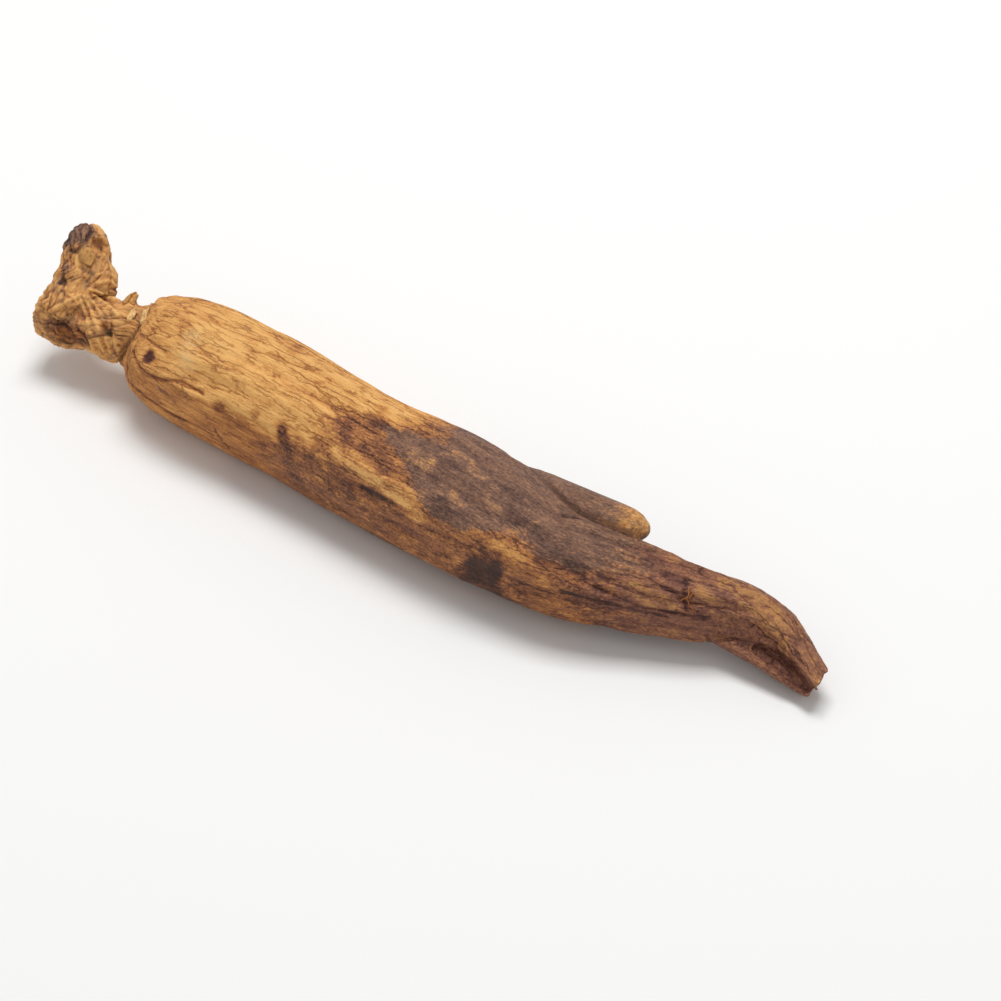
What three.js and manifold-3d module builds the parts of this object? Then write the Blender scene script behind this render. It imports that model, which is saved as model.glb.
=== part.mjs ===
// A red ginseng root, steamed and dried, lying on its flattened belly. It grew as one piece: a gnarled
// rhizome head with stem scars, a thick furrowed body with the pits of lost rootlets, a short side leg,
// and a tail trimmed at its end with a thin leg grown along it.
// Millimetres, +Z up, +X from the head to the tail, origin below the middle of the root's box.

import * as THREE from "three";
import { LoftGeometry } from "three/addons/geometries/LoftGeometry.js";
import { mergeVertices } from "three/addons/utils/BufferGeometryUtils.js";
import Module from "manifold-3d";

const wasm = await Module();
wasm.setup();

// Driving dimensions. Each limb is given by its stations, which are cross-sections: the centre, with x
// measured from the shoulder and z from the surface below, then the half width and half height.
// Square is the power of the section's outline: 2 for an ellipse, more for a squarer one.
const BODY = [
  { x: 2.0, y: 1.5, z: 11.3, width: 4.7, height: 4.9, square: 2.0 },
  { x: 3.1, y: 2.1, z: 10.8, width: 7.1, height: 7.0, square: 2.1 },
  { x: 5.8, y: 3.0, z: 10.2, width: 8.8, height: 8.6, square: 2.2 },
  { x: 11, y: 3.4, z: 9.9, width: 10.0, height: 9.8, square: 2.4 },
  { x: 18, y: 3.7, z: 9.9, width: 10.5, height: 10.3, square: 2.5 },
  { x: 31, y: 3.9, z: 9.9, width: 10.7, height: 10.4, square: 2.5 },
  { x: 44.5, y: 3.5, z: 9.9, width: 10.1, height: 10.3, square: 2.5 },
  { x: 58, y: 2.7, z: 9.9, width: 9.9, height: 10.2, square: 2.4 },
  { x: 69, y: 3.2, z: 9.8, width: 10.5, height: 9.9, square: 2.4 },
  { x: 81, y: 3.0, z: 9.6, width: 10.0, height: 9.3, square: 2.3 },
  { x: 92, y: 2.6, z: 9.0, width: 8.0, height: 8.1, square: 2.2 },
  { x: 103.5, y: 6.2, z: 8.3, width: 6.8, height: 6.8, square: 2.2 },
  { x: 113, y: 9.8, z: 7.5, width: 5.7, height: 5.8, square: 2.2 },
  { x: 119.4, y: 13.0, z: 6.8, width: 4.8, height: 4.8, square: 2.2 },
  { x: 124, y: 14.2, z: 5.9, width: 4.1, height: 4.4, square: 2.2 },
  { x: 128.5, y: 13.6, z: 4.9, width: 3.3, height: 3.8, square: 2.3 },
  { x: 132.4, y: 12.0, z: 4.0, width: 2.8, height: 3.2, square: 2.4 },
  { x: 136.1, y: 10.4, z: 3.4, width: 2.5, height: 2.8, square: 2.5 },
  { x: 139.0, y: 9.3, z: 3.1, width: 2.3, height: 2.6, square: 2.5 },
];
const SIDE_LEG = [
  { x: 70, y: 6.0, z: 11.0, width: 3.0, height: 4.0, square: 2.0 },
  { x: 80, y: 9.4, z: 12.0, width: 4.2, height: 4.6, square: 2.1 },
  { x: 88, y: 11.1, z: 12.6, width: 3.7, height: 4.0, square: 2.2 },
  { x: 95, y: 12.3, z: 12.9, width: 3.2, height: 3.4, square: 2.2 },
  { x: 99.2, y: 13.3, z: 13.0, width: 2.6, height: 2.8, square: 2.2 },
  { x: 101.0, y: 13.8, z: 13.0, width: 1.8, height: 2.0, square: 2.1 },
  { x: 101.8, y: 14.0, z: 13.0, width: 0.8, height: 0.9, square: 2.0 },
];
const THIN_LEG = [
  { x: 110, y: 8.6, z: 6.2, width: 1.4, height: 1.6, square: 2.0 },
  { x: 117, y: 8.9, z: 4.9, width: 1.9, height: 2.0, square: 2.0 },
  { x: 124, y: 9.4, z: 3.8, width: 1.9, height: 2.0, square: 2.0 },
  { x: 130, y: 9.6, z: 3.1, width: 1.8, height: 1.9, square: 2.0 },
  { x: 138.0, y: 9.1, z: 2.7, width: 1.5, height: 1.6, square: 2.0 },
];
// The hollow between the tail and the thin leg, cut out of both.
const LEG_HOLLOW = [
  { x: 122.8, y: 9.3, z: 5.0, width: 0.2, height: 0.2, square: 2.0 },
  { x: 124.5, y: 9.4, z: 5.1, width: 0.5, height: 0.5, square: 2.0 },
  { x: 128.5, y: 9.9, z: 4.5, width: 1.2, height: 1.0, square: 2.0 },
  { x: 132.0, y: 9.3, z: 3.9, width: 1.3, height: 1.1, square: 2.0 },
  { x: 134.8, y: 8.4, z: 3.5, width: 0.9, height: 0.9, square: 2.0 },
  { x: 136.2, y: 8.2, z: 3.4, width: 0.3, height: 0.3, square: 2.0 },
];
// Where the tail was trimmed: a point on the cut, the way that it faces, and the side of the cut's box.
const TAIL_CUT = { at: [137.2, 12.0, 5.4], facing: [0.87, 0.13, -0.48], side: 14 };
const NECK = [
  { x: 6, y: 2.6, z: 10.8, width: 4.4, height: 4.4, square: 2.0 },
  { x: 0.8, y: 1.8, z: 10.8, width: 5.0, height: 5.2, square: 2.0 },
  { x: -3.4, y: 0.6, z: 10.3, width: 5.0, height: 5.2, square: 2.0 },
  { x: -8, y: 0.2, z: 10.2, width: 5.0, height: 4.9, square: 2.1 },
  { x: -12.6, y: -1.3, z: 10.3, width: 4.4, height: 4.3, square: 2.5 },
  { x: -15.0, y: -2.1, z: 10.6, width: 4.0, height: 4.6, square: 2.9 },
  { x: -15.9, y: -2.4, z: 10.8, width: 3.4, height: 4.2, square: 3.0 },
];
const CROWN = [
  { x: -9.4, y: -1.4, z: 8.4, width: 4.6, height: 4.0, square: 2.0 },
  { x: -10.4, y: 0.4, z: 10.6, width: 6.0, height: 5.2, square: 2.1 },
  { x: -10.9, y: 2.4, z: 12.7, width: 6.0, height: 5.0, square: 2.1 },
  { x: -11.3, y: 4.7, z: 14.8, width: 5.3, height: 4.6, square: 2.1 },
  { x: -13.0, y: 6.7, z: 17.0, width: 4.3, height: 4.2, square: 2.1 },
  { x: -14.0, y: 8.1, z: 19.2, width: 3.7, height: 3.7, square: 2.1 },
  { x: -14.8, y: 9.1, z: 20.9, width: 2.9, height: 2.9, square: 2.0 },
  { x: -15.5, y: 9.7, z: 21.9, width: 1.4, height: 1.4, square: 2.0 },
];
const ROOTLET = [
  { x: -0.2, y: 2.6, z: 13.2, width: 1.7, height: 1.5, square: 2.0 },
  { x: -0.5, y: 4.3, z: 15.4, width: 1.1, height: 1.0, square: 2.0 },
  { x: -0.1, y: 5.6, z: 16.9, width: 0.4, height: 0.5, square: 2.0 },
];

// Cup-shaped scars that old stems left on the rhizome: the middle of the mouth, its facing and its radius.
const STEM_SCARS = [
  { at: [-10.6, 7.5, 20.5], facing: [0.72, -0.35, 0.6], radius: 2.1 },
  { at: [-8.2, -4.9, 10.5], facing: [0.15, -0.93, 0.33], radius: 2.7 },
  { at: [-16.8, 3.2, 14.4], facing: [-0.95, -0.2, 0.25], radius: 2.2 },
  { at: [-12.4, 9.2, 14.2], facing: [0.2, 0.95, -0.25], radius: 2.2 },
];
const SCAR_DISH = 0.5;

// Pits where rootlets fell off the body: a share of its length, degrees round it from the +Y side over
// the top, and the pit's radius.
const PITS = [
  { along: 0.086, around: 146, radius: 1.2 },
  { along: 0.205, around: 158, radius: 1.2 },
  { along: 0.257, around: 148, radius: 0.8 },
  { along: 0.302, around: 149, radius: 0.8 },
  { along: 0.16, around: 22, radius: 1.2 },
  { along: 0.41, around: -15, radius: 1.3 },
  { along: 0.53, around: 40, radius: 1.0 },
];
const PIT_DISH = 0.45;

// Facets: the spacing of sections along a limb and the sides of each section.
const BODY_MESH = { spacing: 2.4, sides: 36 };
const LEG_MESH = { spacing: 1.6, sides: 14 };
const HEAD_MESH = { spacing: 1.4, sides: 20 };
const ROOTLET_MESH = { spacing: 1.2, sides: 8 };
const CUP_SIDES = 12;

// Lengthwise furrows: ridges round the girth, depth, turns in 100 mm, and a sideways swing in radians
// that repeats with each wave of millimetres. They fade underneath and on limbs thinner than stated.
const FURROWS = [
  { ridges: 4, depth: 0.3, turns: 0.12, swing: 0.5, wave: 57 },
  { ridges: 7, depth: 0.26, turns: -0.16, swing: 0.7, wave: 38 },
  { ridges: 11, depth: 0.22, turns: 0.1, swing: 0.9, wave: 29 },
];
const BELLY_CALM = 0.9;
const FULL_RELIEF_WIDTH = 5;

// Yearly knots of the rhizome: ridges round it, depth, and the millimetres that a ridge repeats at.
const KNOTS = [
  { ridges: 0, depth: 0.3, pitch: 4.6 },
  { ridges: 3, depth: 0.42, pitch: 13 },
  { ridges: 7, depth: 0.24, pitch: -18 },
];

const FLOOR_CUT = { length: 400, depth: 40 };
const TAU = 2 * Math.PI;
const UP = new THREE.Vector3(0, 0, 1);

// How far the surface stands out at a distance along a limb and an angle round it.
const furrowed = (along, angle) => {
  const calm = 1 - BELLY_CALM * Math.max(0, -Math.sin(angle)) ** 2;
  const waves = FURROWS.map(({ ridges, depth, turns, swing, wave }) => {
    const twist = (TAU * ridges * turns * along) / 100;
    return depth * Math.cos(ridges * angle + twist + swing * Math.sin((TAU * along) / wave));
  });
  return calm * waves.reduce((sum, height) => sum + height, 0);
};

const smooth = () => 0;

const knotted = (along, angle) =>
  KNOTS.reduce(
    (sum, { ridges, depth, pitch }) => sum + depth * Math.cos(ridges * angle + (TAU * along) / pitch),
    0,
  );

// The surface of a limb, as its length and the point at a share of that length and an angle round it.
function surface(stations, relief) {
  const path = new THREE.CatmullRomCurve3(stations.map((s) => new THREE.Vector3(s.x, s.y, s.z)));
  const outlines = new THREE.CatmullRomCurve3(
    stations.map((s) => new THREE.Vector3(s.width, s.height, s.square)),
  );
  const length = path.getLength();
  const pointAt = (share, angle) => {
    const t = path.getUtoTmapping(share);
    const { x: width, y: height, z: square } = outlines.getPoint(t);
    const forward = path.getTangent(t);
    const across = new THREE.Vector3().crossVectors(UP, forward).normalize();
    const over = new THREE.Vector3().crossVectors(forward, across);
    const bulge = relief(length * share, angle) * Math.min(1, width / FULL_RELIEF_WIDTH);
    const reach = (half, part) => half * Math.sign(part) * Math.abs(part) ** (2 / square) + bulge * part;
    return path
      .getPoint(t)
      .addScaledVector(across, reach(width, Math.cos(angle)))
      .addScaledVector(over, reach(height, Math.sin(angle)));
  };
  return { length, pointAt };
}

// A limb lofted through its stations, with a flat cap on each end.
function limb(stations, relief, { spacing, sides }) {
  const { length, pointAt } = surface(stations, relief);
  const rows = Math.round(length / spacing);
  const sections = Array.from({ length: rows + 1 }, (_, row) =>
    Array.from({ length: sides }, (_, side) => pointAt(row / rows, (TAU * side) / sides)),
  );
  return solid(new LoftGeometry(sections, { capStart: true, capEnd: true }));
}

// A closed geometry as a solid that can be joined and cut.
function solid(geometry) {
  const bare = new THREE.BufferGeometry();
  bare.setAttribute("position", geometry.getAttribute("position"));
  bare.setIndex(geometry.index);
  const merged = mergeVertices(bare);
  return new wasm.Manifold(
    new wasm.Mesh({
      numProp: 3,
      vertProperties: merged.getAttribute("position").array,
      triVerts: new Uint32Array(merged.index.array),
    }),
  );
}

// A solid back as a geometry to show.
function geometryOf(shape) {
  const { vertProperties, triVerts } = shape.getMesh();
  const geometry = new THREE.BufferGeometry();
  geometry.setAttribute("position", new THREE.BufferAttribute(vertProperties, 3));
  geometry.setIndex(new THREE.BufferAttribute(triVerts, 1));
  geometry.computeVertexNormals();
  geometry.computeBoundingBox();
  return geometry;
}

// A turned shape with its axis along a facing and its middle at a place.
function placed(geometry, at, facing) {
  const axis = new THREE.Vector3(0, 1, 0);
  const turn = new THREE.Quaternion().setFromUnitVectors(axis, facing.clone().normalize());
  return solid(geometry.applyQuaternion(turn).translate(at.x, at.y, at.z));
}

// The bowl of a scar or a pit: a flattened ball, to be cut out round its middle.
function bowl(at, facing, radius, dish) {
  const ball = new THREE.SphereGeometry(radius, CUP_SIDES, CUP_SIDES / 2).scale(1, dish, 1);
  return placed(ball, at, facing);
}

// A stem scar on the rhizome: a lip that stands out, with a bowl in it.
function withScar(shape, scar) {
  const at = new THREE.Vector3(...scar.at);
  const facing = new THREE.Vector3(...scar.facing);
  const outline = [
    [0, -1.2],
    [0.9, -1.0],
    [1.15, -0.35],
    [0.95, 0],
    [0, 0],
  ].map(([out, rise]) => new THREE.Vector2(out * scar.radius, rise * scar.radius));
  const lip = placed(new THREE.LatheGeometry(outline, CUP_SIDES), at, facing);
  return shape.add(lip).subtract(bowl(at, facing, 0.75 * scar.radius, SCAR_DISH));
}

// A pit in the body, facing away from the point straight across the body.
function withPit(shape, { along, around, radius }) {
  const { pointAt } = surface(BODY, furrowed);
  const angle = THREE.MathUtils.degToRad(around);
  const at = pointAt(along, angle);
  const facing = at.clone().sub(pointAt(along, angle + Math.PI));
  return shape.subtract(bowl(at, facing, radius, PIT_DISH));
}

// A box that starts at a cut and takes away all that lies beyond it.
function beyond({ at, facing, side }) {
  const box = new THREE.BoxGeometry(side, side, side).translate(0, side / 2, 0);
  return placed(box, new THREE.Vector3(...at), new THREE.Vector3(...facing));
}

// Everything below the surface that the root lies on, so that its belly is flat there.
const underFloor = solid(
  new THREE.BoxGeometry(FLOOR_CUT.length, FLOOR_CUT.length, FLOOR_CUT.depth).translate(
    0,
    0,
    -FLOOR_CUT.depth / 2,
  ),
);

const rhizome = limb(NECK, knotted, HEAD_MESH).add(limb(CROWN, knotted, HEAD_MESH));
const head = STEM_SCARS.reduce(withScar, rhizome).add(limb(ROOTLET, knotted, ROOTLET_MESH));
const body = PITS.reduce(withPit, limb(BODY, furrowed, BODY_MESH));
const legs = limb(SIDE_LEG, furrowed, LEG_MESH).add(limb(THIN_LEG, furrowed, LEG_MESH));
const whole = body.add(legs).add(head).subtract(underFloor);
const grown = whole.subtract(limb(LEG_HOLLOW, smooth, LEG_MESH)).subtract(beyond(TAIL_CUT));

const rootSkin = new THREE.MeshStandardMaterial({ color: 0x8a6034, roughness: 0.75, metalness: 0 });
const ginsengRoot = new THREE.Mesh(geometryOf(grown), rootSkin);
ginsengRoot.name = "ginseng_root";
const { min, max } = ginsengRoot.geometry.boundingBox;
ginsengRoot.position.set(-(min.x + max.x) / 2, -(min.y + max.y) / 2, -min.z);

const part = new THREE.Group();
part.add(ginsengRoot);

export default part;
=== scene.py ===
"""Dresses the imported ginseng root: its bark, folds, scars and stains, on a pale studio floor."""

import functools
import math

import bmesh
import bpy
import numpy as np
from bpy.props import FloatProperty, FloatVectorProperty, PointerProperty
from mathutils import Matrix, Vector, kdtree, noise
from mathutils.bvhtree import BVHTree


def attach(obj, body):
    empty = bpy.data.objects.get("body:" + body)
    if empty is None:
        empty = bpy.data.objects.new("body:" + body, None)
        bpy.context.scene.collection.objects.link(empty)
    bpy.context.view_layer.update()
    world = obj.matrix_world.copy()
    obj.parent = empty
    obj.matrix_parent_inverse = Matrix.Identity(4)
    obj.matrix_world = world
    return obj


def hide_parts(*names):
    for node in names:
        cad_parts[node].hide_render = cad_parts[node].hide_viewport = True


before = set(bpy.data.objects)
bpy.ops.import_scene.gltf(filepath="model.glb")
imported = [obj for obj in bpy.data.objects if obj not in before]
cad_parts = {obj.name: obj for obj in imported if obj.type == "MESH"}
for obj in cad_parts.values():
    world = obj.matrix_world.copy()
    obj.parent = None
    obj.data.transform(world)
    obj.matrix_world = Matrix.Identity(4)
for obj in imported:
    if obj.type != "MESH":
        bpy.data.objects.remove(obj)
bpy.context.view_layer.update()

bl_info = {
    "name": "Ginseng Root",
    "version": (1, 0, 0),
    "blender": (4, 5, 0),
    "location": "View3D > Sidebar > Ginseng",
    "description": "Grows the skin of a dried red ginseng root over its packed solid",
    "category": "Object",
}

MM = 0.001
ROOT_NODE = "ginseng_root"
ROOT_BODY = "root"

# Where the shoulder stands in the frame, in mm. Every point below is measured from it.
SHOULDER = np.array((-60.03, -5.485, 0.0))

# The middle line of each limb in mm, as x, y, z and the limb's radius there.
BODY_LINE = (
    (2.0, 1.5, 11.3, 4.8),
    (3.1, 2.1, 10.8, 7.0),
    (5.8, 3.0, 10.2, 8.7),
    (11, 3.4, 9.9, 9.9),
    (18, 3.7, 9.9, 10.4),
    (31, 3.9, 9.9, 10.5),
    (44.5, 3.5, 9.9, 10.2),
    (58, 2.7, 9.9, 10.0),
    (69, 3.2, 9.8, 10.2),
    (81, 3.0, 9.6, 9.7),
    (92, 2.6, 9.0, 8.0),
    (103.5, 6.2, 8.3, 6.8),
    (113, 9.8, 7.5, 5.7),
    (119.4, 13.0, 6.8, 4.8),
    (124, 14.2, 5.9, 4.2),
    (128.5, 13.6, 4.9, 3.5),
    (132.4, 12.0, 4.0, 3.0),
    (136.1, 10.4, 3.4, 2.6),
    (139, 9.3, 3.1, 2.4),
)
SIDE_LEG_LINE = (
    (70, 6, 11, 3.5),
    (80, 9.4, 12, 4.4),
    (88, 11.1, 12.6, 3.8),
    (95, 12.3, 12.9, 3.3),
    (101.8, 14, 13, 2.2),
)
THIN_LEG_LINE = (
    (110, 8.6, 6.2, 1.5),
    (117, 8.9, 4.9, 1.9),
    (124, 9.4, 3.8, 1.9),
    (130, 9.6, 3.1, 1.8),
    (138, 9.1, 2.7, 1.6),
)
NECK_LINE = (
    (6, 2.6, 10.8, 4.4),
    (0.8, 1.8, 10.8, 5.1),
    (-3.4, 0.6, 10.3, 5.1),
    (-8, 0.2, 10.2, 5.0),
    (-12.6, -1.3, 10.1, 4.5),
    (-15.9, -2.4, 10.8, 3.8),
)
CROWN_LINE = (
    (-10.4, 0.4, 10.6, 5.6),
    (-10.9, 2.4, 12.7, 5.5),
    (-11.3, 4.7, 14.8, 5.0),
    (-13, 6.7, 17, 4.3),
    (-14, 8.1, 19.2, 3.7),
    (-15.5, 9.7, 21.9, 2.2),
)
# Limbs that grow away from the shoulder towards the tail, and those that grow towards the head.
LIMBS = {
    "body": (BODY_LINE, 1),
    "side_leg": (SIDE_LEG_LINE, 1),
    "thin_leg": (THIN_LEG_LINE, 1),
    "neck": (NECK_LINE, -1),
    "crown": (CROWN_LINE, -1),
}
# Each line is taken at even steps in mm, and smoothed so many times.
LINE_STEP = 0.5
LINE_ROUNDS = 6
# The rim where the neck ends and the shoulder starts: a point on it in mm, and how x changes on it with
# each mm of y and of z.
RIM_AT = (3.0, -2.0, 10.0)
RIM_LEAN = (-0.36, 0.5)
# Faces are halved up to this x, where the relief is finest.
FINE_UP_TO = 7.5
# Vector noise takes its offsets from this seed, so every run grows the same root.
NOISE_SEED = 4

# Where the dark steamed end of the body starts: degrees round it, with 90 the top and 180 the side that
# has no leg, then mm along it.
DARK_FROM = (
    (0, 60),
    (24, 54),
    (44, 63),
    (62, 62),
    (84, 62),
    (96, 52.5),
    (118, 50),
    (138, 51),
    (150, 43.5),
    (162, 41.5),
    (215, 40),
    (270, 47),
    (300, 58),
    (330, 52),
    (360, 60),
)
# The plum skin: the degrees round of its middle, and its lower edge as mm along and degrees round.
PLUM_MIDDLE = 60
PLUM_EDGE = (
    (58, 100),
    (67, 128),
    (74, 148),
    (80, 150),
    (85, 136),
    (88, 125),
    (92, 132),
    (98, 140),
    (104, 126),
    (114, 112),
)

# The crinkled crust on the bend of the tail: mm along, degrees round.
CRUST = ((121.5, 78), (126, 98), (129.5, 112), (131, 126))

# Marks on the body as strokes: points of mm along and degrees round, half width in mm, and strength.
LIGHT_STROKES = (
    (((55, 138), (60, 143), (64.4, 148), (69, 151), (72.2, 155)), 1.2, 0.44),
    (((66, 134), (70, 143)), 0.7, 0.25),
    (((19.5, 98), (23, 102), (26, 104)), 1.8, 0.16),
    (((65.5, 106), (69, 114)), 1.2, 0.2),
    (((83.8, 160), (81.2, 172), (79.5, 188)), 0.5, 0.26),
    (((86.2, 147), (88, 143), (91, 140)), 0.9, 0.3),
    (((87.4, 128), (88.6, 118), (89.4, 104)), 0.45, 0.25),
    (((89.3, 168), (89, 180), (88.6, 190)), 0.4, 0.24),
    (((93.2, 154), (93.8, 166)), 0.45, 0.22),
    (((69.5, 95), (70.5, 86), (73.5, 82), (77.5, 84)), 0.5, 0.26),
    (((75.2, 92), (78.4, 89)), 0.6, 0.24),
    (((68.5, 101), (70, 106)), 0.5, 0.3),
    (((75.6, 122), (78, 130)), 0.6, 0.2),
    (((62.5, 118), (64.5, 124)), 0.6, 0.25),
    (((81, 112), (84, 116)), 0.5, 0.18),
    (((106.5, 132), (109, 146)), 1.3, 0.2),
    (((115.0, 102), (117, 124)), 1.1, 0.26),
    (((119, 70), (124, 76)), 0.9, 0.25),
    (CRUST, 2.2, 0.3),
)
DARK_STROKES = (
    (((84.6, 170), (82.8, 190), (82, 205)), 2.0, 0.42),
    (((85.4, 172), (85, 190), (84.6, 205)), 1.6, 0.38),
    (((87.2, 164), (87.2, 190), (87, 208)), 1.8, 0.42),
    (((56.2, 85), (57.4, 94)), 1.2, 0.3),
    (((52.6, 104), (53.6, 116), (55, 128), (56, 134)), 1.0, 0.2),
    (((60, 112), (63, 122), (66, 130)), 1.4, 0.14),
    (((75, 134), (77, 140), (80, 138)), 1.6, 0.14),
    (((92, 124), (94.5, 132), (97, 130)), 1.8, 0.16),
    (((42.9, 146), (43.6, 152), (45.2, 162)), 0.9, 0.3),
    (((44.5, 168), (46, 180), (47, 192)), 1.5, 0.12),
    (((33.8, 62), (35.2, 74)), 0.9, 0.3),
    (((14.5, 96), (16, 104)), 0.6, 0.14),
    (((26, 84), (29, 88)), 0.6, 0.14),
    (((38, 108), (41, 114)), 0.6, 0.16),
    (((20.5, 140), (23.5, 144)), 0.5, 0.16),
    (((31, 128), (33, 132)), 0.5, 0.14),
    (((58.5, 163), (58.4, 178)), 0.8, 0.15),
    (((107.5, 86), (110.5, 100), (113, 110)), 1.5, 0.18),
    (((118.5, 96), (121, 112), (121.5, 128)), 0.8, 0.16),
    (((86, 108), (90, 114), (94, 116)), 1.6, 0.14),
    (((70, 98), (74, 104)), 1.2, 0.12),
    (((80, 96), (84, 92)), 1.2, 0.12),
)
PALE_STROKES = ((((18.6, 112), (19.8, 126), (20.6, 138)), 1.3, 0.85),)

# Pits of lost rootlets: mm along, degrees round, radius in mm, and how dark. Their dark is partly the scar's
# own colour and partly painted shade in the pit.
PITS = (
    (12.4, 145, 1.15, 0.66),
    (29.4, 157, 1.1, 0.3),
    (37.0, 147, 0.9, 0.26),
    (43.1, 148, 0.9, 0.24),
    (23, 22, 1.0, 0.4),
    (57, -15, 1.0, 0.4),
)
# Grooves of the body: points of mm along and degrees round, half width and depth in mm.
GROOVES = (
    (((4.8, 140), (8, 149), (11, 158), (13.4, 162), (16.9, 158), (21, 151), (25.6, 152)), 0.3, 0.34),
    (((3.6, 126), (8, 130), (12, 132), (15.4, 134)), 0.2, 0.15),
    (((3.7, 182), (6.4, 188), (10.7, 190), (17.4, 196), (28, 193)), 0.24, 0.2),
    (((28.8, 183), (29.9, 193), (30.4, 207)), 0.26, 0.25),
    (((60, 158), (66, 157), (72, 157)), 0.4, 0.25),
    (((91, 70), (94.9, 60)), 0.35, 0.45),
    (((101, 148), (105, 155), (109, 161), (113, 160), (118, 158)), 0.4, 0.35),
    (((96, 166), (104, 170), (112, 172)), 0.35, 0.3),
    (((110.5, 124), (112, 130), (113.6, 135)), 0.4, 0.5),
    (((113.4, 100), (113.8, 120), (114.6, 150)), 0.3, 0.25),
)
# Ridges of the head, through points in mm: half width and height. The first five fan out over the neck.
HEAD_RIDGES = (
    (((-7.7, 1.4, 16.5), (-6.1, 2.6, 15.6), (-4.2, 3.5, 14.9), (-2.6, 3.5, 14.6)), 0.28, 0.5),
    (((-7.6, 1.0, 16.1), (-5.9, 1.8, 14.9), (-2.1, 0.9, 15.4), (1.1, -0.4, 16.0)), 0.28, 0.55),
    (((-7.5, 0.6, 15.8), (-5.4, 0.3, 15.0), (-1.8, -1.4, 15.4), (-0.4, -2.0, 14.5)), 0.28, 0.5),
    (((-7.5, 0.1, 15.6), (-5.5, -0.6, 14.6), (-2.5, -2.5, 14.7), (-0.9, -3.2, 13.7)), 0.28, 0.5),
    (((-7.9, -0.5, 15.6), (-6.2, -1.4, 14.4), (-3.6, -3.1, 14.1), (-1.9, -4.1, 12.9)), 0.28, 0.45),
    (((-11.3, -4.6, 13.6), (-9.8, -3.0, 14.7), (-8.6, -1.7, 15.6), (-8.1, -0.2, 15.8)), 0.28, 0.5),
    (((-7.7, 3.6, 18.0), (-7.0, 5.3, 17.9), (-6.5, 6.5, 16.3)), 0.28, 0.35),
    (((-6.8, 3.0, 17.2), (-6.2, 4.8, 16.9), (-5.6, 5.8, 15.4)), 0.28, 0.35),
    (((-13.9, -5.1, 14.0), (-13.0, -5.5, 11.9), (-12.9, -5.1, 9.1)), 0.3, 0.35),
    (((-0.7, -3.9, 12.1), (-0.4, -3.2, 9.6)), 0.28, 0.4),
    (((0.3, -3.0, 12.5), (0.7, -2.6, 9.4)), 0.28, 0.4),
    (((-2.2, -4.4, 11.7), (-2.1, -4.0, 9.7)), 0.28, 0.4),
    (((1.4, -2.3, 13.2), (2.8, -2.8, 11.0)), 0.28, 0.35),
)
# Crevices of the head, through points in mm: half width and depth.
CREVICES = (
    (((-12.0, 6.1, 21.7), (-10.5, 5.9, 20.8), (-9.4, 6.1, 19.7)), 0.35, 0.6),
    (((-14.5, 4.2, 20.0), (-12.6, 4.3, 20.3), (-12.0, 6.1, 21.7), (-12.6, 7.8, 22.4)), 0.35, 0.5),
    (((-10.8, 3.0, 18.8), (-9.5, 3.2, 18.4), (-8.6, 3.6, 18.1)), 0.35, 0.5),
    (((-11.7, 7.5, 21.9), (-11.4, 7.5, 20.3), (-10.5, 8.0, 19.6)), 0.3, 0.4),
    (((-11.5, 8.0, 21.0), (-11.2, 8.2, 20.2)), 0.45, 0.45),
    (((-14.0, -4.1, 14.7), (-13.2, -2.9, 14.9)), 0.35, 0.45),
    (((-13.3, -5.5, 12.8), (-13.0, -5.4, 11.0)), 0.3, 0.4),
    (((-7.1, 1.2, 15.8), (-3.7, 0.1, 15.3), (-1.1, -1.6, 15.0)), 0.25, 0.3),
    (((-6.7, 1.9, 15.8), (-5.0, 2.7, 14.9), (-3.0, 2.4, 15.0)), 0.25, 0.25),
    (((-0.5, -2.1, 14.3), (0.0, -2.5, 13.7), (0.9, -2.4, 13.2)), 0.5, 0.6),
    (((-12.8, 0.0, 17.1), (-12.3, -0.3, 16.9)), 0.5, 0.4),
)
# The middle of the stump of an old stem by the crown, in mm.
STEM_RING = (-10.7, 7.7, 20.5)
# Stains of the head: middle in mm, reach, darkening, and how much of it is dark plum skin.
HEAD_STAINS = (
    ((-15.2, 7.2, 21.6), 3.2, 0.3, 0.9),
    ((-13.2, 1.9, 18.2), 1.5, 0.22, 0.7),
    ((-14.2, 4.2, 19.6), 0.9, 0.3, 0.3),
    ((-0.1, -2.4, 13.8), 1.4, 0.16, 0.2),
    ((-12.5, -0.1, 17.0), 0.8, 0.3, 0.4),
)
# The hollow in the side of the head, the stub of a rootlet on the neck, and the hollow between the tail
# and its thin leg, each as a line through points in mm.
HEAD_HOLLOW = ((-10.4, -4.3, 10.2), (-7.0, -4.9, 10.9), (-4.8, -4.5, 10.9))
ROOTLET_LINE = ((-0.2, 3.2, 14.0), (-0.5, 4.3, 15.4), (-0.1, 5.6, 16.9))
LEG_HOLLOW = ((122.8, 9.3, 5.0), (128.5, 9.9, 4.5), (132, 9.3, 3.9), (134.8, 8.4, 3.5), (136.2, 8.2, 3.4))
# The trimmed end of the tail: a point on the cut in mm, and the way the cut faces.
TAIL_CUT = ((137.2, 12.0, 5.4), (0.87, 0.13, -0.48))

# Where the bud scale lies on the crown, from its root to its tip in mm. The skin is calmer under it.
BUD_SCALE_BED = ((-11.8, 5.3, 21.2), (-9.5, 4.2, 18.6))
# Loose scales: from and to in mm, half width, how far the tip lifts, and which colour.
FLAKES = (
    ("bud_scale", *BUD_SCALE_BED, 1.35, 0.35, "scale"),
    ("crown_scale", (-6.8, 2.9, 16.9), (-5.0, 3.4, 15.3), 0.7, 0.3, "scale"),
    ("neck_flake_low", (2.9, 0.0, 15.5), (2.2, 2.7, 16.1), 0.55, 0.3, "flake"),
    ("neck_flake_high", (5.6, -0.3, 16.4), (5.3, 2.9, 17.9), 0.6, 0.5, "flake"),
)
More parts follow.
